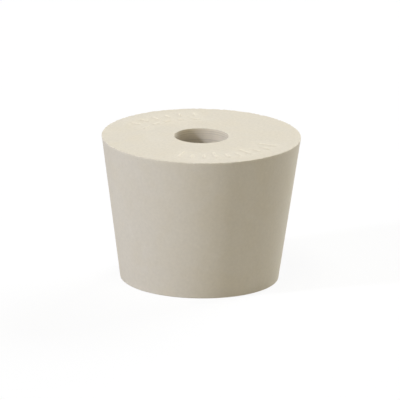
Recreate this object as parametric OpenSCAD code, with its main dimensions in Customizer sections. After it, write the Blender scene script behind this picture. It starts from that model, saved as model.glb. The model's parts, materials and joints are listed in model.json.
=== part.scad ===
// Tapered rubber stopper with a through bore
//
// The stopper is moulded in one piece and stands on its small end. The origin
// is the centre of that face, and +Z runs up the bore to the wide end. Both
// ends are flat, the side is one straight taper, and every edge is an arc that
// is tangent to the two faces it joins. Sizes are in millimetres.

/* [Plug] */
// Diameter of the wide end, before its edge is rounded
wide_d = 34; // [28:0.5:60]
// Diameter of the small end, before its edge is rounded
small_d = 27; // [16:0.5:33]
// Height from the small end to the wide end
height = 25; // [12:0.5:60]

/* [Bore] */
// Diameter of the bore, which grips a glass tube
bore_d = 9.2; // [3:0.1:20]

/* [Edges] */
// Radius of the edge round the wide end, where the moulding is trimmed
wide_edge_r = 0.15; // [0.05:0.05:2]
// Radius of the moulded edge round the small end
small_edge_r = 0.25; // [0.05:0.05:2]
// Radius of the edge at each mouth of the bore
mouth_edge_r = 0.1; // [0.05:0.05:2]

/* [Hidden] */

// Colour of the pale filled rubber
rubber_colour = "#e3dccb";
// Facets round the axis
$fn = 180;
// Steps along each rounded edge
edge_steps = 8;

// Sharp corners of the section right of the axis, counter-clockwise from the
// foot of the bore, and the radius that rounds each one
section_corners = [
    [bore_d / 2, 0],
    [small_d / 2, 0],
    [wide_d / 2, height],
    [bore_d / 2, height]
];
section_radii = [mouth_edge_r, small_edge_r, wide_edge_r, mouth_edge_r];

function unit(v) = v / norm(v);

// Points along the arc of radius r that is tangent to both sides of a corner.
// Its centre lies on the line that halves the corner's angle.
function rounded_corner(before, corner, after, r) =
    let (
        back = unit(before - corner),
        ahead = unit(after - corner),
        half_angle = acos(back * ahead) / 2,
        centre = corner + unit(back + ahead) * r / sin(half_angle),
        first_spoke = corner + back * r / tan(half_angle) - centre,
        start = atan2(first_spoke.y, first_spoke.x),
        step = (180 - 2 * half_angle) / edge_steps
    )
    [for (i = [0 : edge_steps]) centre + r * [cos(start + i * step), sin(start + i * step)]];

// A closed counter-clockwise outline with every corner rounded by its own radius
function rounded_outline(corners, radii) =
    let (n = len(corners))
    [for (i = [0 : n - 1])
        each rounded_corner(corners[(i + n - 1) % n], corners[i], corners[(i + 1) % n], radii[i])];

// The whole moulding: its section turned once round the axis
module stopper() {
    color(rubber_colour)
        rotate_extrude()
            polygon(rounded_outline(section_corners, section_radii));
}

stopper();
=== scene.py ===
# %% [markdown]
# # A bored rubber stopper
#
# The real stopper is one moulding of pale filled rubber. A steel mould gives it
# a flat wide end, a straight taper and a flat small end, and a pin through the
# mould leaves the bore. When it comes out, the thin web of rubber that crept
# between the mould's halves is trimmed off round the wide end.
#
# So there is one piece to make, and its quality lies in small things: how crisp
# each edge is, how the trimmed rim wanders, and how the matte skin takes light.
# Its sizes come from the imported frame.

# %% Load the frame
import json
import math

import bmesh
import bpy
import numpy as np
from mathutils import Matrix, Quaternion, Vector


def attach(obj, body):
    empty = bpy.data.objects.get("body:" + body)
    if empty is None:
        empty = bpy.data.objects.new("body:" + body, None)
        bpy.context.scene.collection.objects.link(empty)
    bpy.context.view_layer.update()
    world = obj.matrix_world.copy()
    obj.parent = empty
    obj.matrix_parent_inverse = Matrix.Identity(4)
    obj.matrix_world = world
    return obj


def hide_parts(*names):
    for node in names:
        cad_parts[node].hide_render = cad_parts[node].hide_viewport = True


MM = 0.001

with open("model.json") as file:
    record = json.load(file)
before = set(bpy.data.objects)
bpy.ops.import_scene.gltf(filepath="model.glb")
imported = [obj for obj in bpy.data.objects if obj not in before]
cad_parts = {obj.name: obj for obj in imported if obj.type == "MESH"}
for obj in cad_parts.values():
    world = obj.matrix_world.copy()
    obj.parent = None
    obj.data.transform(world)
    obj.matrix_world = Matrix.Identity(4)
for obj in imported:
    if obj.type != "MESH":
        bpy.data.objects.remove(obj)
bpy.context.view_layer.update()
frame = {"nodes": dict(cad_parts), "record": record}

# %% [markdown]
# ## Taper and height, read back from the frame
#
# The stopper is a body of revolution, so its whole shape is one outline of
# radius against height, and every vertex of the CAD node lies on a ring of it.
# The rings of the side lie on a straight line. Where that line meets the planes
# of the two ends are the sharp corners, before any rounding.

# %% Read the taper and the height
def outline_rings(node):
    """The distinct (radius, height) pairs of a turned node's vertices, in metres."""
    points = np.array([vertex.co for vertex in node.data.vertices])
    pairs = np.column_stack([np.hypot(points[:, 0], points[:, 1]), points[:, 2]])
    return np.unique(pairs.round(7), axis=0)


def side_line(rings, height):
    """Slope of the side, and its radius at height 0, from the rings of its middle part."""
    outside = rings[:, 0] > rings[:, 0].max() / 2
    middle = abs(rings[:, 1] / height - 0.5) < 0.4
    return np.polyfit(rings[outside & middle, 1], rings[outside & middle, 0], 1)


rings = outline_rings(frame["nodes"]["stopper"])
height = float(rings[:, 1].max())
slope, small_r = side_line(rings, height)
wide_r = small_r + slope * height
taper = math.atan(slope)
print(f"height {height / MM:.3f} mm, taper {math.degrees(taper):.2f} degrees on each side")

# %% [markdown]
# ## Edges and bore
#
# A rounded corner's arc begins short of the sharp corner by its radius divided
# by the tangent of half the corner's angle. The frame shows where the flat ends
# stop, so the radius is that distance times the tangent. The small end's corner
# is wider than a right angle by the taper, and the wide end's is narrower by it.
# The record gives the bore's radius and the length of its straight wall, and the
# mouths' edges take up the rest.

# %% Read the edges and the bore
HAIR = MM / 1000  # nearer than this counts as the same height

small_flat_r = rings[rings[:, 1] < HAIR, 0].max()
wide_flat_r = rings[rings[:, 1] > height - HAIR, 0].max()
small_edge = (small_r - small_flat_r) * math.tan((math.pi / 2 + taper) / 2)
wide_edge = (wide_r - wide_flat_r) * math.tan((math.pi / 2 - taper) / 2)

bore = next(mount for mount in frame["record"]["mounts"] if mount["name"] == "bore")
bore_r = bore["dims"]["r_mm"] * MM
mouth_edge = (height - bore["dims"]["length_mm"] * MM) / 2

outline_sizes = {
    "Bore Radius": bore_r,
    "Small Radius": float(small_r),
    "Wide Radius": float(wide_r),
    "Height": height,
    "Mouth Edge": mouth_edge,
    "Small Edge": float(small_edge),
    "Wide Edge": float(wide_edge),
}
for label, size in outline_sizes.items():
    print(f"{label}: {size / MM:.3f} mm")

# %% [markdown]
# ## The camera
#
# A small object looks calm and true through a long lens from well back. This
# camera stands three metres away and looks down a little, so the bore's mouth
# reads as a flat ellipse. It leans by less than a degree, as one on a tripod
# may, and aims just above the middle of the stopper.

# %% Place the camera
CAMERA_DISTANCE = 3000 * MM
CAMERA_ELEVATION = math.radians(16.12)
CAMERA_ROLL = math.radians(0.8)
FRAME_WIDTH = 68.2 * MM  # what the picture takes in, across the stopper's axis
AIM_ABOVE_MIDDLE = 1.035 * MM
AIM_ACROSS = -0.07 * MM  # negative is to the left


def new_object(name, data):
    """A new object in the scene that shows data, such as a mesh or a lamp."""
    made = bpy.data.objects.new(name, data)
    bpy.context.scene.collection.objects.link(made)
    return made


def look_back(name, data, target, direction, distance):
    """A camera or lamp that stands off from target in a direction and faces it."""
    made = new_object(name, data)
    made.location = target + direction * distance
    made.rotation_mode = "QUATERNION"
    made.rotation_quaternion = (-direction).to_track_quat("-Z", "Y")
    return made


def add_camera(target, distance, elevation, roll, frame_width):
    """A camera on the -Y side that looks at target and takes in frame_width there."""
    lens = bpy.data.cameras.new("camera")
    lens.lens = lens.sensor_width * distance / frame_width
    lens.clip_start = distance / 10
    lens.clip_end = distance * 10
    back = Vector((0, -math.cos(elevation), math.sin(elevation)))
    camera = look_back("camera", lens, target, back, distance)
    camera.rotation_quaternion @= Quaternion((0, 0, 1), roll)
    return camera


axis_middle = Vector((0, 0, height / 2))
aim = axis_middle + Vector((AIM_ACROSS, 0, AIM_ABOVE_MIDDLE / math.cos(CAMERA_ELEVATION)))
camera = add_camera(aim, CAMERA_DISTANCE, CAMERA_ELEVATION, CAMERA_ROLL, FRAME_WIDTH)
bpy.context.scene.camera = camera
bpy.context.scene.view_settings.view_transform = "Standard"
print("lens, mm:", round(camera.data.lens))

# %% [markdown]
# ## Short ways to wire nodes
#
# Materials and geometry are both node trees, and both are easier to read when a
# step is one short call. `add` makes a node, sets its options and fills its
# inputs: a socket is linked, and anything else becomes the input's own value.
# `new_group` starts a tree with named inputs, and `place_group` places it with
# other values. `spread_out` sets the finished nodes apart, because nodes made by
# a script all lie on one spot.

# %% Helpers: nodes and groups
FLOAT, INTEGER, COLOUR = "NodeSocketFloat", "NodeSocketInt", "NodeSocketColor"
VECTOR, GEOMETRY, MATERIAL = "NodeSocketVector", "NodeSocketGeometry", "NodeSocketMaterial"
SOCKET_OF = {float: FLOAT, int: INTEGER, tuple: COLOUR}


def feed(tree, socket, value):
    """Links value to the socket if it is a socket itself, or else sets it as the constant."""
    if isinstance(value, bpy.types.NodeSocket):
        tree.links.new(value, socket)
    else:
        socket.default_value = value


def add(tree, kind, inputs=None, **options):
    """Adds a node of a kind. inputs maps an input's name or number to a socket or a constant."""
    made = tree.nodes.new(kind)
    for option, value in options.items():
        setattr(made, option, value)
    for key, value in (inputs or {}).items():
        feed(tree, made.inputs[key], value)
    return made


def new_group(name, kind, inputs, outputs):
    """An empty node group. inputs maps each name to a default value, or to a socket type."""
    tree = bpy.data.node_groups.new(name, kind)
    for label, value in inputs.items():
        socket_type = SOCKET_OF.get(type(value), value)
        socket = tree.interface.new_socket(label, in_out="INPUT", socket_type=socket_type)
        if socket_type is not value:
            socket.default_value = value
    for label, socket_type in outputs.items():
        tree.interface.new_socket(label, in_out="OUTPUT", socket_type=socket_type)
    return tree, tree.nodes.new("NodeGroupInput").outputs, tree.nodes.new("NodeGroupOutput").inputs


def place_group(tree, group, inputs):
    """Places a node group in a tree, with values for its inputs. Gives its outputs."""
    kind = "GeometryNodeGroup" if group.type == "GEOMETRY" else "ShaderNodeGroup"
    return add(tree, kind, inputs, node_tree=group).outputs


def spread_out(tree, step_x=220, step_y=180):
    """Places each node to the right of what feeds it. Gives how many nodes there are."""
    depth = {node: 0 for node in tree.nodes}
    for _ in tree.nodes:
        for link in tree.links:
            depth[link.to_node] = max(depth[link.to_node], depth[link.from_node] + 1)
    rows = {}
    for node in tree.nodes:
        row = rows.get(depth[node], 0)
        rows[depth[node]] = row + 1
        node.location = (depth[node] * step_x, -row * step_y)
    return len(tree.nodes)


print("node helpers: feed, add, new_group, place_group, spread_out")

# %% [markdown]
# ## Arithmetic in nodes
#
# A node tree is mostly arithmetic: a distance, a product, a smooth step from one
# value to another. With one call for each, it is about as short as its formula.

# %% Helpers: numbers and vectors
UP = (0.0, 0.0, 1.0)


def calc(tree, operation, *values, clamp=False):
    """One step of arithmetic on numbers."""
    made = add(tree, "ShaderNodeMath", dict(enumerate(values)), operation=operation, use_clamp=clamp)
    return made.outputs[0]


def times(tree, first, second):
    """One number times another, which is the commonest step."""
    return calc(tree, "MULTIPLY", first, second)


def calc_vector(tree, operation, *values):
    """One step of arithmetic on vectors. LENGTH and DISTANCE give a number."""
    made = add(tree, "ShaderNodeVectorMath", dict(enumerate(values)), operation=operation)
    return made.outputs["Value" if operation in ("LENGTH", "DISTANCE") else "Vector"]


def scale_vector(tree, vector, factor):
    """A vector times a number."""
    made = add(tree, "ShaderNodeVectorMath", {"Vector": vector, "Scale": factor}, operation="SCALE")
    return made.outputs["Vector"]


def combine(tree, **parts):
    """A vector from its X, Y and Z. A part that isn't given is 0."""
    return add(tree, "ShaderNodeCombineXYZ", parts).outputs["Vector"]


def split(tree, vector):
    """The X, Y and Z of a vector, as outputs found by those names."""
    return add(tree, "ShaderNodeSeparateXYZ", {0: vector}).outputs


def blend(tree, factor, first, second, data_type="RGBA"):
    """The first value where factor is 0, the second where it is 1, and a mixture between."""
    inputs = {"Factor": factor, "A": first, "B": second}
    return add(tree, "ShaderNodeMix", inputs, data_type=data_type).outputs["Result"]


def ramp(tree, value, start, end, low=0.0, high=1.0):
    """Goes smoothly from low to high as value goes from start to end."""
    inputs = {"Value": value, "From Min": start, "From Max": end, "To Min": low, "To Max": high}
    return add(tree, "ShaderNodeMapRange", inputs, interpolation_type="SMOOTHSTEP").outputs["Result"]


print("arithmetic: calc, times, calc_vector, scale_vector, combine, split, blend, ramp")

# %% [markdown]
# ## Chance in nodes
#
# Two textures give chance that comes out the same each time. Noise is cloudy and
# fits what varies slowly or has a grain. Scattered cells fit what sits here and
# there: each cell has a centre and random numbers of its own, and a test of one
# of those numbers decides which cells get a mark at all.

# %% Helpers: noise and scattered cells
def noise(tree, vector, scale, detail=2.0, roughness=0.5, distortion=0.0):
    """Cloudy noise from 0 to 1, around 0.5. scale counts its clouds in one unit of vector."""
    inputs = {"Vector": vector, "Scale": scale, "Detail": detail, "Roughness": roughness}
    inputs["Distortion"] = distortion
    return add(tree, "ShaderNodeTexNoise", inputs).outputs["Fac"]


def scattered_cells(tree, vector, spacing):
    """Distance to the nearest centre, as a share of the spacing, and its three random numbers."""
    inputs = {"Vector": vector, "Scale": calc(tree, "DIVIDE", 1.0, spacing)}
    made = add(tree, "ShaderNodeTexVoronoi", inputs)
    return made.outputs["Distance"], split(tree, made.outputs["Color"])


print("chance: noise, scattered_cells")

# %% [markdown]
# ## Colour of the rubber
#
# Natural rubber filled with chalk and clay is a warm ivory. It is never quite
# one colour: milling between rollers leaves soft clouds a few millimetres
# across, and a grain of filler shows here and there. The clouds come from two
# sizes of noise, and the grains from scattered cells. A node group holds it all,
# because each finish uses it in its own strength.

# %% Node group: rubber tone
FINE_CLOUDS = 10.0  # how many times smaller the fine clouds are than the broad ones
DARK_GRAINS = 0.2  # share of the cells that hold a dark grain
LIGHT_GRAINS = 0.15
LIGHT_GRAIN_STRENGTH = 0.3  # beside a dark grain's 1
GRAIN_REACH, REACH_SPREAD = 0.02, 0.05  # shares of the grain spacing


def rubber_tone_group():
    """Base colour with milled clouds and sparse dark and light filler grains."""
    tree, given, result = new_group(
        "rubber_tone",
        "ShaderNodeTree",
        {
            "Coordinate": VECTOR,
            "Tone": (0.8, 0.8, 0.8, 1),
            "Warm Tone": (0.8, 0.7, 0.6, 1),
            "Cloud Size": 5.0,
            "Cloud Strength": 0.055,
            "Grain Spacing": 1.6,
            "Grain Strength": 0.2,
        },
        {"Color": COLOUR},
    )
    cloud_scale = calc(tree, "DIVIDE", 1.0, given["Cloud Size"])
    broad = noise(tree, given["Coordinate"], cloud_scale, detail=3.0, distortion=0.6)
    tinted = blend(tree, ramp(tree, broad, 0.35, 0.7), given["Tone"], given["Warm Tone"])

    fine_scale = times(tree, cloud_scale, FINE_CLOUDS)
    fine = noise(tree, given["Coordinate"], fine_scale, detail=3.0)
    clouds = calc(tree, "SUBTRACT", calc(tree, "MULTIPLY_ADD", fine, 2.0, broad), 1.5)
    brightness = calc(tree, "MULTIPLY_ADD", clouds, given["Cloud Strength"], 1.0)

    distance, chance = scattered_cells(tree, given["Coordinate"], given["Grain Spacing"])
    reach = calc(tree, "MULTIPLY_ADD", chance["Y"], REACH_SPREAD, GRAIN_REACH)
    near = calc(tree, "SUBTRACT", 1.0, ramp(tree, distance, GRAIN_REACH / 2, reach))
    dark = times(tree, near, calc(tree, "GREATER_THAN", chance["X"], 1 - DARK_GRAINS))
    light = times(tree, near, calc(tree, "LESS_THAN", chance["X"], LIGHT_GRAINS))
    grain = calc(tree, "SUBTRACT", times(tree, light, LIGHT_GRAIN_STRENGTH), dark)
    grained = calc(tree, "MULTIPLY_ADD", grain, given["Grain Strength"], brightness)
    feed(tree, result["Color"], scale_vector(tree, tinted, grained))
    return tree


tone_group = rubber_tone_group()
print(tone_group.name, "nodes:", spread_out(tone_group))

# %% [markdown]
# ## Skin of the moulding
#
# A mould for rubber is finished with a fine blast, and the rubber copies it: a
# close matte grain a quarter of a millimetre across, with a pinhole here and
# there where air was trapped. The group gives a height in thousandths of a
# millimetre, which a Bump node turns into a normal. Real shape would be the
# wrong tool here, because the grain is far finer than any mesh worth storing.

# %% Node group: moulded grain
PINHOLES = 0.25  # share of the cells that hold a pinhole
PINHOLE_WIDTH, WIDTH_SPREAD = 0.015, 0.03  # shares of the pinhole spacing


def moulded_grain_group():
    """Height of the blasted mould's grain, less its pinholes. Coordinates are in millimetres."""
    tree, given, result = new_group(
        "moulded_grain",
        "ShaderNodeTree",
        {
            "Coordinate": VECTOR,
            "Grain Size": 0.25,
            "Grain Depth": 4.0,
            "Pinhole Spacing": 2.5,
            "Pinhole Depth": 30.0,
        },
        {"Height": FLOAT, "Pinhole": FLOAT},
    )
    grain_scale = calc(tree, "DIVIDE", 1.0, given["Grain Size"])
    grain = noise(tree, given["Coordinate"], grain_scale, detail=2.0, roughness=0.6)
    raised = times(tree, grain, given["Grain Depth"])

    distance, chance = scattered_cells(tree, given["Coordinate"], given["Pinhole Spacing"])
    width = calc(tree, "MULTIPLY_ADD", chance["Z"], WIDTH_SPREAD, PINHOLE_WIDTH)
    near = calc(tree, "SUBTRACT", 1.0, ramp(tree, distance, 0.0, width))
    pinhole = times(tree, near, calc(tree, "GREATER_THAN", chance["Y"], 1 - PINHOLES))
    sunk = times(tree, pinhole, given["Pinhole Depth"])
    feed(tree, result["Height"], calc(tree, "SUBTRACT", raised, sunk))
    feed(tree, result["Pinhole"], pinhole)
    return tree


grain_group = moulded_grain_group()
print(grain_group.name, "nodes:", spread_out(grain_group))

# %% [markdown]
# ## Turning marks
#
# The mould's parts are turned on a lathe, and so is the pin that leaves the
# bore. Each carries fine rings, which the rubber copies: across the ends they
# run round the axis, and down the side and the bore they lie one above another.
# In all three places they are a wave along one number, the radius or the height.
# The wave's strength wanders from ring to ring, as a worn tool's does.

# %% Node group: turned rings
def turned_rings_group():
    """Height of the rings that a lathe tool leaves along a number given in millimetres."""
    tree, given, result = new_group(
        "turned_rings",
        "ShaderNodeTree",
        {
            "Along": 0.0,
            "Coordinate": VECTOR,
            "Pitch": 0.3,
            "Depth": 2.0,
            "Wander": 0.5,
        },
        {"Height": FLOAT, "Ring": FLOAT},
    )
    drift = noise(tree, given["Coordinate"], 0.25, detail=1.0)
    turns = calc(tree, "DIVIDE", given["Along"], given["Pitch"])
    phase = calc(tree, "ADD", turns, times(tree, drift, given["Wander"]))
    wave = calc(tree, "SINE", times(tree, phase, 2 * math.pi))
    strength = ramp(tree, noise(tree, combine(tree, X=phase), 0.45, detail=2.0), 0.35, 0.7)
    ring = times(tree, calc(tree, "MULTIPLY_ADD", wave, 0.5, 0.5), strength)
    feed(tree, result["Ring"], ring)
    feed(tree, result["Height"], times(tree, ring, given["Depth"]))
    return tree


rings_group = turned_rings_group()
print(rings_group.name, "nodes:", spread_out(rings_group))

# %% [markdown]
# ## Bloom and dust
#
# Stoppers are dusted with talc so that they don't stick together, and rubber
# also brings a faint white bloom to its surface. Both gather in patches, and
# both are rubbed off what stands proud. The group gives a mask of where the
# powder lies, from 0 to 1: broad patches broken up by fine noise.

# %% Node group: talc bloom
FINE_POWDER = 40.0  # how many times smaller the powder is than its patches


def talc_bloom_group():
    """Mask of powder that lies in patches and is rubbed off where Rubbed is high."""
    tree, given, result = new_group(
        "talc_bloom",
        "ShaderNodeTree",
        {
            "Coordinate": VECTOR,
            "Patch Size": 6.0,
            "Cover": 0.4,
            "Rubbed": 0.0,
        },
        {"Mask": FLOAT},
    )
    patch_scale = calc(tree, "DIVIDE", 1.0, given["Patch Size"])
    patch = noise(tree, given["Coordinate"], patch_scale, detail=5.0, roughness=0.6, distortion=0.4)
    powder_scale = times(tree, patch_scale, FINE_POWDER)
    powder = noise(tree, given["Coordinate"], powder_scale, detail=2.0)
    threshold = calc(tree, "MULTIPLY_ADD", given["Cover"], -0.5, 0.75)
    lies = ramp(tree, patch, threshold, calc(tree, "ADD", threshold, 0.25))
    dusty = times(tree, lies, ramp(tree, powder, 0.3, 0.6))
    kept = calc(tree, "SUBTRACT", 1.0, given["Rubbed"], clamp=True)
    feed(tree, result["Mask"], times(tree, dusty, kept))
    return tree


bloom_group = talc_bloom_group()
print(bloom_group.name, "nodes:", spread_out(bloom_group))

# %% [markdown]
# ## Colour of a finish
#
# Every finish builds its colour in the order in which it comes about: the
# rubber's own tone, talc on top, then what darkens or lightens both. Pinholes
# and turned rings are painted darker, as painted shade in these hollows, and
# rubbed places lighter, which on the raised marks is painted light. The bore is
# painted lighter near its mouths and darker further down, as painted light and
# shade for how the light dies away down the hole.

# %% Helper: the colour of a finish
IVORY = (0.705, 0.655, 0.548, 1)
WARM_IVORY = (0.690, 0.636, 0.520, 1)
CHALK = (0.84, 0.81, 0.75, 1)
TALC_SHOWS = 0.25  # how far full talc takes the colour to chalk
# Pinholes are painted darker: painted shade in the hollow.
PINHOLE_PAINTED_SHADE = 0.35
# Rubbed places are painted lighter, which on the raised marks stands in for the light they catch.
RUBBED_PAINTED_LIGHT = 0.16
# The bore's painted light near its mouths turns into painted shade by this depth.
PAINTED_DEPTH_REACH = 3.0  # millimetres from an end to where the deep tint is reached


def finish_colour(tree, level, tone, masks, ring_painted_shade, mouth_painted_light, deep_painted_shade):
    """The rubber's tone with talc, times painted shade in pinholes and rings, painted light and shade
    by depth, and lighter rubbing.
    """
    dusted = blend(tree, times(tree, masks["Talc"], TALC_SHOWS), tone, CHALK)
    from_end = calc(tree, "MINIMUM", level, calc(tree, "SUBTRACT", height / MM, level))
    # Pinholes painted darker: painted shade inside them.
    holed = calc(tree, "MULTIPLY_ADD", masks["Pinhole"], -PINHOLE_PAINTED_SHADE, 1.0)
    # Painted light near the bore's mouths and painted shade further in, by depth.
    shaded = calc(tree, "ADD", holed, ramp(tree, from_end, 0.0, PAINTED_DEPTH_REACH, mouth_painted_light, deep_painted_shade))
    # The ring grooves are painted darker: painted shade.
    ringed = calc(tree, "MULTIPLY_ADD", masks["Ring"], -ring_painted_shade, shaded)
    # Rubbed places lighter: on the raised marks this is painted light.
    worn = calc(tree, "MULTIPLY_ADD", masks["Rubbed"], RUBBED_PAINTED_LIGHT, ringed)
    return scale_vector(tree, dusted, worn)


print("ivory, linear red, green and blue:", IVORY[:3])

# %% [markdown]
# ## One way to finish the rubber
#
# One function makes every finish out of the four groups. All patterns read the
# object's own coordinates in millimetres, so each keeps its real size and its
# place on the rubber. They feed the Principled shader's colour, roughness and
# normal. How strongly the rubber mirrors is the same all over a finish, so it is
# set on the shader itself. It is low on the ends and next to nothing on the
# side, because powdered rubber hardly shines even at a glancing angle.

# %% Helper: a finish of the rubber
TALC_ROUGHENS = 0.1


def rubber_finish(
    name,
    rings_along,
    ring_pitch,
    ring_depth,
    clouds,
    grain_depth,
    talc_cover,
    roughness,
    gloss,
    tones=(IVORY, WARM_IVORY),
    ring_painted_shade=0.0,
    mouth_painted_light=0.0,
    deep_painted_shade=0.0,
):
    """A finish of the stopper's rubber. Depths are in thousandths of a millimetre."""
    material = bpy.data.materials.new(name)
    material.use_nodes = True
    tree = material.node_tree
    shader = tree.nodes["Principled BSDF"]
    place = scale_vector(tree, add(tree, "ShaderNodeTexCoord").outputs["Object"], 1 / MM)
    apart = split(tree, place)
    along = level = apart["Z"]
    if rings_along == "radius":
        along = calc_vector(tree, "LENGTH", combine(tree, X=apart["X"], Y=apart["Y"]))
    # rubbed wipes off talc as wear, and lightens the raised marks as painted light.
    rubbed = add(tree, "ShaderNodeAttribute", attribute_name="rubbed").outputs["Fac"]

    here = {"Coordinate": place}
    tone_values = {"Tone": tones[0], "Warm Tone": tones[1], "Cloud Strength": clouds}
    ring_values = {"Along": along, "Pitch": ring_pitch, "Depth": ring_depth}
    tone = place_group(tree, tone_group, here | tone_values)
    grain = place_group(tree, grain_group, here | {"Grain Depth": grain_depth})
    turned = place_group(tree, rings_group, here | ring_values)
    bloom = place_group(tree, bloom_group, here | {"Cover": talc_cover, "Rubbed": rubbed})

    talc = bloom["Mask"]
    masks = {"Talc": talc, "Pinhole": grain["Pinhole"], "Ring": turned["Ring"], "Rubbed": rubbed}
    colour = finish_colour(tree, level, tone["Color"], masks, ring_painted_shade, mouth_painted_light, deep_painted_shade)
    relief = calc(tree, "ADD", grain["Height"], turned["Height"])
    bump = add(tree, "ShaderNodeBump", {"Height": relief, "Distance": MM / 1000, "Strength": 1.0})
    feed(tree, shader.inputs["Base Color"], colour)
    feed(tree, shader.inputs["Roughness"], calc(tree, "MULTIPLY_ADD", talc, TALC_ROUGHENS, roughness))
    feed(tree, shader.inputs["Normal"], bump.outputs["Normal"])
    feed(tree, shader.inputs["Specular IOR Level"], gloss)
    return material


print("roughness that full talc adds:", TALC_ROUGHENS)

# %% [markdown]
# ## Three finishes of one rubber
#
# The flat ends copy the faced ends of the mould, the side copies the tapered
# hole, and the bore copies the pin. On an end the rings are counted along the
# radius, and elsewhere along the height. The pin is left as it was turned, so
# the bore has the boldest rings. Little talc gets in there, so its wall is a
# shade warmer and has more of a sheen than the outside.

# %% The three finishes
BORE_TONES = ((0.705, 0.645, 0.534, 1), (0.690, 0.627, 0.507, 1))

end_finish = rubber_finish(
    "moulded_end",
    rings_along="radius",
    ring_pitch=0.42,
    ring_depth=1.0,
    clouds=0.10,
    grain_depth=4.0,
    talc_cover=0.45,
    roughness=0.72,
    gloss=0.2,
)
side_finish = rubber_finish(
    "moulded_side",
    rings_along="height",
    ring_pitch=0.55,
    ring_depth=0.8,
    clouds=0.06,
    grain_depth=4.5,
    talc_cover=0.35,
    roughness=0.70,
    gloss=0.02,
)
bore_finish = rubber_finish(
    "bored_wall",
    rings_along="height",
    ring_pitch=0.36,
    ring_depth=7.0,
    clouds=0.04,
    grain_depth=3.0,
    talc_cover=0.1,
    roughness=0.55,
    gloss=0.75,
    tones=BORE_TONES,
    # The rings' grooves are painted darker, as painted shade.
    ring_painted_shade=0.25,
    # The bore is painted lighter near its mouths and darker further in: painted light and shade.
    mouth_painted_light=0.12,
    deep_painted_shade=-0.06,
)
for finish in (end_finish, side_finish, bore_finish):
    print(finish.name, "nodes:", spread_out(finish.node_tree))

# %% [markdown]
# ## Four corners, rounded
#
# Geometry Nodes can repeat what the mould's maker did: draw four corners, round
# each with its own radius, and turn the outline round the axis. This step draws
# and rounds them, with X as the radius and Y as the height. The Fillet node
# makes tangent arcs, and an Index Switch hands each corner its own radius.

# %% Helper: the rounded corners
RING_SIZES = ("Ring Spacing", "Wide End Ring Spacing")
OUTLINE_INPUTS = dict.fromkeys((*outline_sizes, *RING_SIZES), 0.0) | {"Edge Steps": 8}
CORNER_EDGES = ("Mouth Edge", "Small Edge", "Wide Edge", "Mouth Edge")


def rounded_corners(tree, given, index):
    """Closed curve through the four corners, each rounded by its own radius."""
    corners = {
        "Point 1": combine(tree, X=given["Bore Radius"], Y=0.0),
        "Point 2": combine(tree, X=given["Small Radius"], Y=0.0),
        "Point 3": combine(tree, X=given["Wide Radius"], Y=given["Height"]),
        "Point 4": combine(tree, X=given["Bore Radius"], Y=given["Height"]),
    }
    sharp = add(tree, "GeometryNodeCurvePrimitiveQuadrilateral", corners, mode="POINTS")
    edge = add(tree, "GeometryNodeIndexSwitch", {"Index": index}, data_type="FLOAT")
    while len(edge.index_switch_items) < len(CORNER_EDGES):
        edge.index_switch_items.new()
    for number, label in enumerate(CORNER_EDGES):
        feed(tree, edge.inputs[str(number)], given[label])
    inputs = {"Curve": sharp.outputs[0], "Count": given["Edge Steps"], "Radius": edge.outputs[0]}
    return add(tree, "GeometryNodeFilletCurve", inputs, mode="POLY").outputs["Curve"]


print("rounded corners:", len(CORNER_EDGES))

# %% [markdown]
# ## The outline, cut into rings
#
# Every point of the outline becomes a ring of vertices once it is turned. The
# arcs have points enough, but the long straights have none, so they are cut.
# The wide end needs close rings, because raised marks will be drawn on it, and
# the rest needs few. Each straight asks how long it is and whether both its ends
# lie at full height, and gets as many cuts as fit.

# %% Node group: the rounded outline
def cuts_that_fit(tree, given, index):
    """How many cuts the straight from each point to the next one gets."""
    here = add(tree, "GeometryNodeInputPosition").outputs["Position"]
    following = add(tree, "GeometryNodeOffsetPointInCurve", {"Point Index": index, "Offset": 1})
    inputs = {"Value": here, "Index": following.outputs["Point Index"]}
    at_index = add(tree, "GeometryNodeFieldAtIndex", inputs, data_type="FLOAT_VECTOR")
    there = at_index.outputs["Value"]
    length = calc_vector(tree, "DISTANCE", here, there)
    both_levels = split(tree, calc_vector(tree, "ADD", here, there))["Y"]
    nearly_top = calc(tree, "SUBTRACT", times(tree, given["Height"], 2.0), HAIR)
    on_wide_end = calc(tree, "GREATER_THAN", both_levels, nearly_top)
    plain, close = given["Ring Spacing"], given["Wide End Ring Spacing"]
    spacing = blend(tree, on_wide_end, plain, close, data_type="FLOAT")
    return calc(tree, "FLOOR", calc(tree, "DIVIDE", length, spacing))


def outline_group():
    """Closed curve of the section, with X as the radius and Y as the height."""
    tree, given, result = new_group(
        "rounded_outline", "GeometryNodeTree", OUTLINE_INPUTS, {"Curve": GEOMETRY}
    )
    index = add(tree, "GeometryNodeInputIndex").outputs["Index"]
    inputs = {
        "Curve": rounded_corners(tree, given, index),
        "Cuts": cuts_that_fit(tree, given, index),
    }
    cut = add(tree, "GeometryNodeSubdivideCurve", inputs)
    feed(tree, result["Curve"], cut.outputs["Curve"])
    return tree


outline = outline_group()
print(outline.name, "nodes:", spread_out(outline))

# %% [markdown]
# ## Strokes for raised marks
#
# A mould maker cuts marks with a ball-ended cutter, so on the rubber each one
# stands up as a low ridge with a round back and round ends. So only the cutter's
# path is drawn: short straight strokes. This group sets one stroke at equal
# steps along an arc round the axis.

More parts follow.
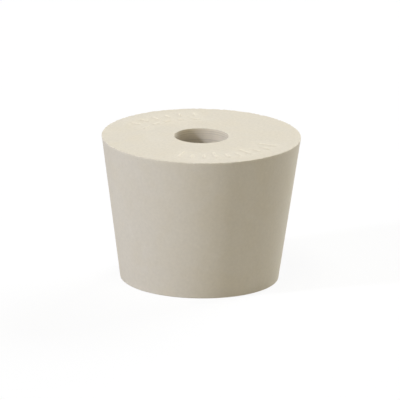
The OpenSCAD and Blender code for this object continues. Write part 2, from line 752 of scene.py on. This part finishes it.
# %% Node group: strokes along an arc
def stroke_row_group():
    """Equal strokes at equal steps. Reach is along the radius, and Sweep is across it."""
    tree, given, result = new_group(
        "stroke_row",
        "GeometryNodeTree",
        {
            "Count": 5,
            "Row Radius": 0.0,
            "Level": 0.0,
            "First Angle": 0.0,
            "Step Angle": 0.0,
            "Reach": 0.0,
            "Sweep": 0.0,
        },
        {"Strokes": GEOMETRY},
    )
    half = scale_vector(tree, combine(tree, X=given["Reach"], Y=given["Sweep"]), 0.5)
    ends = {"Count": 2, "Start Location": scale_vector(tree, half, -1.0), "Offset": half}
    stroke = add(tree, "GeometryNodeMeshLine", ends, mode="END_POINTS").outputs["Mesh"]

    index = add(tree, "GeometryNodeInputIndex").outputs["Index"]
    angle = calc(tree, "MULTIPLY_ADD", index, given["Step Angle"], given["First Angle"])
    x = times(tree, calc(tree, "COSINE", angle), given["Row Radius"])
    y = times(tree, calc(tree, "SINE", angle), given["Row Radius"])
    place = combine(tree, X=x, Y=y, Z=given["Level"])
    points = add(tree, "GeometryNodePoints", {"Count": given["Count"], "Position": place}).outputs[0]
    turn = add(tree, "FunctionNodeAxisAngleToRotation", {"Axis": UP, "Angle": angle}).outputs[0]
    inputs = {"Points": points, "Instance": stroke, "Rotation": turn}
    placed = add(tree, "GeometryNodeInstanceOnPoints", inputs).outputs["Instances"]
    real = add(tree, "GeometryNodeRealizeInstances", {"Geometry": placed})
    feed(tree, result["Strokes"], real.outputs["Geometry"])
    return tree


stroke_row = stroke_row_group()
print(stroke_row.name, "nodes:", spread_out(stroke_row))

# %% [markdown]
# ## The stopper's own tree
#
# One tree makes the whole piece. The next cells build it step by step, and each
# step takes the mesh of the one before. Its inputs are the sizes that a maker
# would want to change, and the three finishes.

# %% Start the stopper's tree
MARK_SIZES = ("Mark Width", "Mark Height", "Scuff Reach")
RIM_SIZES = ("Rim Nibble", "Rim Reach", "Rim Lip", "Lip Depth", "Skin Wave")
FINISHES = ("End Finish", "Side Finish", "Bore Finish")

stopper_inputs = OUTLINE_INPUTS | {"Segments Round": 64}
stopper_inputs |= dict.fromkeys((*MARK_SIZES, *RIM_SIZES), 0.0)
stopper_inputs |= dict.fromkeys(FINISHES, MATERIAL)
tree, given, result = new_group(
    "stopper_moulding", "GeometryNodeTree", stopper_inputs, {"Geometry": GEOMETRY}
)
print("inputs of the stopper's tree:", len(stopper_inputs))

# %% [markdown]
# ## Turn the outline round the axis
#
# Curve to Mesh sweeps the outline along a circle, but it also chooses which way
# round the outline stands. So each point of the outline remembers its radius and
# height before the sweep, and each point of the circle its number. Afterwards
# Set Position puts every vertex exactly where those say. The sweep leaves the
# faces looking inwards, so they are flipped.

# %% Turn the outline
def remember(tree, geometry, data_type, label, value):
    """Keeps a value on every point. Gives the geometry and the value, to read later."""
    kept = add(tree, "GeometryNodeCaptureAttribute", {"Geometry": geometry})
    kept.capture_items.new(data_type, label)
    feed(tree, kept.inputs[label], value)
    return kept.outputs["Geometry"], kept.outputs[label]


outline_values = {label: given[label] for label in OUTLINE_INPUTS}
curve = place_group(tree, outline, outline_values)["Curve"]
position = add(tree, "GeometryNodeInputPosition").outputs["Position"]
curve, section = remember(tree, curve, "VECTOR", "Section", position)

circle_inputs = {"Resolution": given["Segments Round"], "Radius": given["Wide Radius"]}
circle = add(tree, "GeometryNodeCurvePrimitiveCircle", circle_inputs, mode="RADIUS")
number = add(tree, "GeometryNodeInputIndex").outputs["Index"]
circle, segment = remember(tree, circle.outputs["Curve"], "FLOAT", "Segment", number)
swept = add(tree, "GeometryNodeCurveToMesh", {"Curve": circle, "Profile Curve": curve})

segment_angle = calc(tree, "DIVIDE", 2 * math.pi, given["Segments Round"])
angle = times(tree, segment, segment_angle)
outward = combine(tree, X=calc(tree, "COSINE", angle), Y=calc(tree, "SINE", angle))
radius, level = split(tree, section)["X"], split(tree, section)["Y"]
raised = scale_vector(tree, UP, level)
true_place = calc_vector(tree, "ADD", scale_vector(tree, outward, radius), raised)
placed_inputs = {"Geometry": swept.outputs["Mesh"], "Position": true_place}
placed = add(tree, "GeometryNodeSetPosition", placed_inputs)
body = add(tree, "GeometryNodeFlipFaces", {"Mesh": placed.outputs["Geometry"]}).outputs["Mesh"]
print("nodes so far:", len(tree.nodes))

# %% [markdown]
# ## A skin that sank as it cooled
#
# Rubber shrinks a little in the mould, and not everywhere alike, so the skin of
# a real piece waves by a few hundredths of a millimetre. Slow noise along the
# normal does that. It moves points, so it is real shape.

# %% Sink the skin
SKIN_WAVES = 0.12  # waves in a millimetre


def moved(tree, geometry, offset):
    """The same geometry with each point moved by its own offset."""
    return add(tree, "GeometryNodeSetPosition", {"Geometry": geometry, "Offset": offset}).outputs[0]


in_mm = scale_vector(tree, add(tree, "GeometryNodeInputPosition").outputs["Position"], 1 / MM)
wave = noise(tree, in_mm, SKIN_WAVES, detail=2.0)
sink = times(tree, wave, times(tree, given["Skin Wave"], -1.0))
normal = add(tree, "GeometryNodeInputNormal").outputs["Normal"]
body = moved(tree, body, scale_vector(tree, normal, sink))
print("nodes so far:", len(tree.nodes))

# %% [markdown]
# ## A lip under the cut
#
# The blade that trims the wide end drags the rubber outwards, which leaves a
# thin lip round the rim. It is strongest where the side meets the end and fades
# out within a millimetre both ways.

# %% Draw out the lip
LIP_FULL = 0.2  # part of the lip's depth over which it is at full strength

faded_lip = times(tree, given["Lip Depth"], LIP_FULL)
from_top = calc(tree, "SUBTRACT", given["Height"], level)
from_side = calc(tree, "SUBTRACT", given["Wide Radius"], radius)
high = ramp(tree, from_top, given["Lip Depth"], faded_lip)
wide = ramp(tree, from_side, given["Lip Depth"], faded_lip)
lip = times(tree, times(tree, high, wide), given["Rim Lip"])
body = moved(tree, body, scale_vector(tree, outward, lip))
print("nodes so far:", len(tree.nodes))

# %% [markdown]
# ## A rim nibbled by the blade
#
# The cut doesn't run true either. The blade bites down and a little inwards,
# mostly in small nibbles of about a millimetre and partly in slow swings. Noise
# that is read along the rim gives both. Where it bites least, a little rubber is
# left standing proud.

# %% Trim the rim
QUICK_BITES = 0.75
SLOW_BITES = 0.25
LEFT_STANDING = 0.2
BITE_INWARD = 0.35  # beside 1 downwards
RIM_FULL = 0.3  # part of the rim's reach over which the bite is at full strength

rim_corner = combine(tree, X=given["Wide Radius"], Y=given["Height"])
off_rim = calc_vector(tree, "DISTANCE", section, rim_corner)
at_rim = ramp(tree, off_rim, given["Rim Reach"], times(tree, given["Rim Reach"], RIM_FULL))

along_rim = scale_vector(tree, outward, calc(tree, "DIVIDE", given["Wide Radius"], MM))
slow = ramp(tree, noise(tree, along_rim, 0.35, detail=2.0), 0.35, 0.75)
quick = ramp(tree, noise(tree, along_rim, 1.4, detail=3.0, roughness=0.6), 0.4, 0.75)
slow_bite = calc(tree, "MULTIPLY_ADD", slow, SLOW_BITES, -LEFT_STANDING)
bite = calc(tree, "MULTIPLY_ADD", quick, QUICK_BITES, slow_bite)
bitten = times(tree, times(tree, bite, at_rim), given["Rim Nibble"])
inward = calc_vector(tree, "ADD", scale_vector(tree, outward, -BITE_INWARD), (0.0, 0.0, -1.0))
body = moved(tree, body, scale_vector(tree, inward, bitten))
print("nodes so far:", len(tree.nodes))

# %% [markdown]
# ## What is marked on the wide end
#
# Stoppers carry moulded marks on the wide end. These are plain ones that say
# nothing: on one side a scale like a dial's, with two short bars after each
# long one, and on the other a row of short bars and a row of dashes. Each row is
# a few numbers.

# %% Rows of strokes
SHORTEST = 0.02 * MM  # a stroke needs some length to be a stroke at all


def mark_row(count, radius_mm, first_deg, step_deg, reach_mm=0.0, sweep_mm=0.0):
    """The inputs of one row of strokes, from plain millimetres and degrees."""
    return {
        "Count": count,
        "Row Radius": radius_mm * MM,
        "First Angle": math.radians(first_deg),
        "Step Angle": math.radians(step_deg),
        "Reach": max(reach_mm * MM, SHORTEST),
        "Sweep": sweep_mm * MM,
    }


rows = [
    mark_row(4, 12.3, -106, 27.0, reach_mm=2.9),
    mark_row(3, 13.0, -97.0, 27.0, reach_mm=1.5),
    mark_row(3, 13.0, -88.0, 27.0, reach_mm=1.5),
    mark_row(6, 13.2, 96, 10.5, reach_mm=1.1),
    mark_row(5, 10.4, 95, 14.5, sweep_mm=0.9),
]
print("strokes:", sum(row["Count"] for row in rows))

# %% [markdown]
# ## Raise the marks
#
# Each vertex asks how far it is from the nearest stroke. Within half a mark's
# width it rises, by a smooth step that gives the ridge its round back. Not all
# of a real mark is filled equally well, so slow noise varies the height.

# %% Raise the marks
RIDGE_TOP = 0.15  # part of the half width that is the flat of the back
LEAST_FILLED = 0.7  # height of the worst filled part, beside 1 for the best

strokes = add(tree, "GeometryNodeJoinGeometry")
for row in rows:
    made = place_group(tree, stroke_row, {"Level": given["Height"]} | row)
    tree.links.new(made["Strokes"], strokes.inputs[0])
near_inputs = {"Geometry": strokes.outputs[0], "Sample Position": true_place}
nearest = add(tree, "GeometryNodeProximity", near_inputs, target_element="EDGES")
off_stroke = nearest.outputs["Distance"]

half_width = times(tree, given["Mark Width"], 0.5)
ridge = ramp(tree, off_stroke, half_width, times(tree, half_width, RIDGE_TOP))
filled = ramp(tree, noise(tree, in_mm, 0.5, detail=1.0), 0.2, 0.6, LEAST_FILLED, 1.0)
rise = times(tree, times(tree, ridge, filled), given["Mark Height"])
body = moved(tree, body, scale_vector(tree, UP, rise))
print("nodes so far:", len(tree.nodes))

# %% [markdown]
# ## What is rubbed
#
# Thumbs and other stoppers rub what stands proud: the ridges most, the skin
# close round them, and a little the rim and the foot. That is stored on the mesh
# as the attribute rubbed. The finishes read it to wipe off the talc, which is
# wear, and to lighten the rubber, which on the raised marks is painted light
# for the light that their round backs catch.

# %% Store what is rubbed
SCUFFING = 0.22  # beside a ridge's back, which is rubbed by 1
EDGE_RUBBING = 0.15
FOOT_REACH = 2.5  # times the small end's edge radius

foot_corner = combine(tree, X=given["Small Radius"])
off_foot = calc_vector(tree, "DISTANCE", section, foot_corner)
foot_reach = times(tree, given["Small Edge"], FOOT_REACH)
at_foot = ramp(tree, off_foot, foot_reach, given["Small Edge"])
edges = times(tree, calc(tree, "MAXIMUM", at_rim, at_foot), EDGE_RUBBING)
scuffed = ramp(tree, off_stroke, given["Scuff Reach"], half_width, 0.0, SCUFFING)
rubbed = calc(tree, "MAXIMUM", calc(tree, "MAXIMUM", ridge, scuffed), edges)
stored = add(
    tree,
    "GeometryNodeStoreNamedAttribute",
    {"Geometry": body, "Name": "rubbed", "Value": rubbed},
    data_type="FLOAT",
    domain="POINT",
)
print("nodes so far:", len(tree.nodes))

# %% [markdown]
# ## Give each face its finish
#
# A face takes its finish from where it lies in the outline. The band between the
# rounded edges is the side outside and the bore's wall inside, and the rest is
# the ends. The tree closes with Realize Instances and Set Material, so it hands
# over one plain mesh that has its materials.

# %% Finish the tree
def within(tree, value, low, high):
    """1 where value lies between low and high, and 0 elsewhere."""
    above = calc(tree, "GREATER_THAN", value, low)
    return times(tree, above, calc(tree, "LESS_THAN", value, high))


def finished(tree, geometry, finish, where=True):
    """The same geometry with a finish on the faces where it is wanted."""
    inputs = {"Geometry": geometry, "Selection": where, "Material": finish}
    return add(tree, "GeometryNodeSetMaterial", inputs).outputs["Geometry"]


middle = times(tree, calc(tree, "ADD", given["Bore Radius"], given["Small Radius"]), 0.5)
outside = calc(tree, "GREATER_THAN", radius, middle)
inside = calc(tree, "SUBTRACT", 1.0, outside)
side_top = calc(tree, "SUBTRACT", given["Height"], given["Wide Edge"])
wall_top = calc(tree, "SUBTRACT", given["Height"], given["Mouth Edge"])
on_side = times(tree, outside, within(tree, level, given["Small Edge"], side_top))
on_wall = times(tree, inside, within(tree, level, given["Mouth Edge"], wall_top))

smooth = add(tree, "GeometryNodeSetShadeSmooth", {"Geometry": stored.outputs["Geometry"]})
real = add(tree, "GeometryNodeRealizeInstances", {"Geometry": smooth.outputs["Geometry"]})
body = finished(tree, real.outputs["Geometry"], given["End Finish"])
body = finished(tree, body, given["Side Finish"], on_side)
body = finished(tree, body, given["Bore Finish"], on_wall)
feed(tree, result["Geometry"], body)
print(tree.name, "nodes:", spread_out(tree))

# %% [markdown]
# ## Make the stopper
#
# A Geometry Nodes modifier on an empty mesh grows the whole piece. Its inputs
# are set by their identifiers, because names need not be unique. A Weighted
# Normal modifier then lets the broad flats, and not the narrow arcs, say which
# way the shading turns. The result is kept as a plain mesh without modifiers.

# %% Grow the piece
def grow(name, tree, values):
    """Runs a node tree on an empty mesh and keeps what it makes as a plain mesh object."""
    piece = new_object(name, bpy.data.meshes.new(name))
    modifier = piece.modifiers.new(tree.name, "NODES")
    modifier.node_group = tree
    for item in tree.interface.items_tree:
        if item.item_type == "SOCKET" and item.in_out == "INPUT":
            modifier[item.identifier] = values[item.name]
    piece.modifiers.new("weighted_normals", "WEIGHTED_NORMAL").keep_sharp = False
    depsgraph = bpy.context.evaluated_depsgraph_get()
    mesh = bpy.data.meshes.new_from_object(
        piece.evaluated_get(depsgraph),
        preserve_all_data_layers=True,
        depsgraph=depsgraph,
    )
    piece.modifiers.clear()
    piece.data = mesh
    mesh.name = name
    return piece


stopper_values = {
    "Edge Steps": 8,
    "Ring Spacing": 0.7 * MM,
    "Wide End Ring Spacing": 0.18 * MM,
    "Segments Round": 512,
    "Mark Width": 0.9 * MM,
    "Mark Height": 0.17 * MM,
    "Scuff Reach": 2.4 * MM,
    "Rim Nibble": 0.12 * MM,
    "Rim Reach": 0.55 * MM,
    "Rim Lip": 0.03 * MM,
    "Lip Depth": 1.0 * MM,
    "Skin Wave": 0.03 * MM,
    "End Finish": end_finish,
    "Side Finish": side_finish,
    "Bore Finish": bore_finish,
}
stopper = grow("stopper_body", tree, outline_sizes | stopper_values)
print("vertices:", len(stopper.data.vertices), " faces:", len(stopper.data.polygons))

# %% [markdown]
# ## Check the piece
#
# A mesh that will be printed or exported should be closed, and its faces should
# look outwards. Every edge of a closed mesh has exactly two faces. The signed
# volume is positive when the faces look outwards, and it should come close to
# the frame's own solid, because the marks and the sunken skin are tiny.

# %% Measure the mesh
def volume_and_open_edges(mesh):
    """Signed volume in cubic millimetres, and the edges that don't have exactly two faces."""
    shape = bmesh.new()
    shape.from_mesh(mesh)
    volume = shape.calc_volume(signed=True) / MM**3
    open_edges = sum(len(edge.link_faces) != 2 for edge in shape.edges)
    shape.free()
    return volume, open_edges


volume, open_edges = volume_and_open_edges(stopper.data)
frame_volume, _ = volume_and_open_edges(frame["nodes"]["stopper"].data)
print(f"volume {volume:.1f} mm3, of the frame's solid {frame_volume:.1f} mm3")
print("open edges:", open_edges)
print("triangles:", sum(len(face.vertices) - 2 for face in stopper.data.polygons))

# %% [markdown]
# ## White to the eye
#
# The stopper stands on a pale floor in a white room. White here is a colour and
# not a flood of light. Light Path tells what kind of ray asks: camera and mirror
# rays ought to see white, and the diffuse rays that light one place from another
# ought not.

# %% Helper: who is looking
WHITE = (1, 1, 1, 1)


def seen_directly(tree):
    """1 for camera, glossy and transmission rays, which should see the white surround."""
    path = add(tree, "ShaderNodeLightPath").outputs
    mirrored = calc(tree, "MAXIMUM", path["Is Glossy Ray"], path["Is Transmission Ray"])
    return calc(tree, "MAXIMUM", path["Is Camera Ray"], mirrored)


print("colour of the surround:", WHITE[:3])

# %% [markdown]
# ## Floor
#
# What the camera sees of the floor is mostly a plain glow of strength 1, so it
# comes out white, and the small diffuse part keeps the stopper's soft shadow.
# Diffuse rays meet a grey floor instead, of which a fifth is glow, for the light
# that a bright table sends up onto the foot.

# %% The floor
FLOOR_SIZE = 4.0  # metres
FLOOR_COLOUR = (0.50, 0.49, 0.48, 1)
FLOOR_GLOW = 0.20  # share of glow for diffuse rays
SHADOW_SHARE = 0.12  # share of the floor's look that the lamps light


def floor_material():
    """White to the eye with a faint shadow, and plain grey with some glow to diffuse rays."""
    material = bpy.data.materials.new("studio_floor")
    material.use_nodes = True
    tree = material.node_tree
    tree.nodes.remove(tree.nodes["Principled BSDF"])
    seen = seen_directly(tree)
    colour = blend(tree, seen, FLOOR_COLOUR, WHITE)
    diffuse = add(tree, "ShaderNodeBsdfDiffuse", {"Color": colour}).outputs[0]
    glow = add(tree, "ShaderNodeEmission", {"Color": WHITE, "Strength": 1.0}).outputs[0]
    share = calc(tree, "MULTIPLY_ADD", seen, 1 - SHADOW_SHARE - FLOOR_GLOW, FLOOR_GLOW)
    mixed = add(tree, "ShaderNodeMixShader", {0: share, 1: diffuse, 2: glow}).outputs[0]
    feed(tree, tree.nodes["Material Output"].inputs["Surface"], mixed)
    return material


def add_floor(size):
    """A square floor at height 0, centred under the stopper."""
    half = size / 2
    corners = [(-half, -half, 0), (half, -half, 0), (half, half, 0), (-half, half, 0)]
    mesh = bpy.data.meshes.new("studio_floor")
    mesh.from_pydata(corners, [], [(0, 1, 2, 3)])
    mesh.materials.append(floor_material())
    return new_object("studio_floor", mesh)


floor = add_floor(FLOOR_SIZE)
print(floor.name, "nodes:", spread_out(floor.active_material.node_tree))

# %% [markdown]
# ## World
#
# The world is white in the same way. To all other rays it is nearly black, with
# a hint of warmth, so the stopper's shaded parts and the bore stay deep.

# %% The world
AMBIENT = (0.06, 0.05, 0.04, 1)


def white_world():
    """White where it is seen directly, and a dim warm ambient light for everything else."""
    world = bpy.data.worlds.new("studio_world")
    world.use_nodes = True
    tree = world.node_tree
    tree.nodes.remove(tree.nodes["Background"])
    ambient = add(tree, "ShaderNodeBackground", {"Color": AMBIENT, "Strength": 1.0}).outputs[0]
    white = add(tree, "ShaderNodeBackground", {"Color": WHITE, "Strength": 1.0}).outputs[0]
    shares = {0: seen_directly(tree), 1: ambient, 2: white}
    mixed = add(tree, "ShaderNodeMixShader", shares).outputs[0]
    feed(tree, tree.nodes["World Output"].inputs["Surface"], mixed)
    return world


world = white_world()
bpy.context.scene.world = world
print(world.name, "nodes:", spread_out(world.node_tree))

# %% [markdown]
# ## Studio light
#
# Four area lights do the work. The key light is low on the left, so the side
# fades from light to dark across its width, and it is small, so the shadow in
# the bore has a clear edge. An overhead light brightens the wide end most,
# because the side leans in towards its foot and turns away from it. A light
# behind on the right lifts the far edge, which makes a plain body look round.
# The last is a weak warm fill in front on the right, so low that it lights the
# shaded side but never reaches into the bore.
#
# At a distance d, the light that reaches a surface facing an area light is about
# power / (pi * d * d), and dividing by pi again gives the brightness of a white
# surface. So the power for a wanted brightness is found from that.

# %% Lights
LIGHT_DISTANCE = 1.0  # metres


def add_area_light(name, azimuth_deg, elevation_deg, size, brightness, colour):
    """A square light aimed at the stopper. Azimuth 0 is the camera's side, and right is positive."""
    azimuth, elevation = math.radians(azimuth_deg), math.radians(elevation_deg)
    across, back = math.sin(azimuth), -math.cos(azimuth)
    flat, up = math.cos(elevation), math.sin(elevation)
    direction = Vector((across * flat, back * flat, up))
    lamp = bpy.data.lights.new(name, "AREA")
    lamp.shape = "SQUARE"
    lamp.size = size
    lamp.energy = brightness * math.pi**2 * LIGHT_DISTANCE**2
    lamp.color = colour
    return look_back(name, lamp, axis_middle, direction, LIGHT_DISTANCE)


lights = [
    add_area_light("key_light", -65, 27, 0.1, 0.665, (0.848, 0.875, 1.0)),
    add_area_light("overhead_light", -30, 75, 0.4, 0.415, (1.0, 0.971, 0.868)),
    add_area_light("back_light", 140, 25, 0.6, 0.95, (0.907, 0.945, 1.0)),
    add_area_light("low_fill", 45, 8, 0.2, 0.138, (1.0, 0.910, 0.665)),
]
print("light powers, W:", {light.name: round(light.data.energy, 2) for light in lights})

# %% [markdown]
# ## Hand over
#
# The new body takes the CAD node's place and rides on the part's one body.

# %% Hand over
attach(stopper, "root")
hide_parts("stopper")
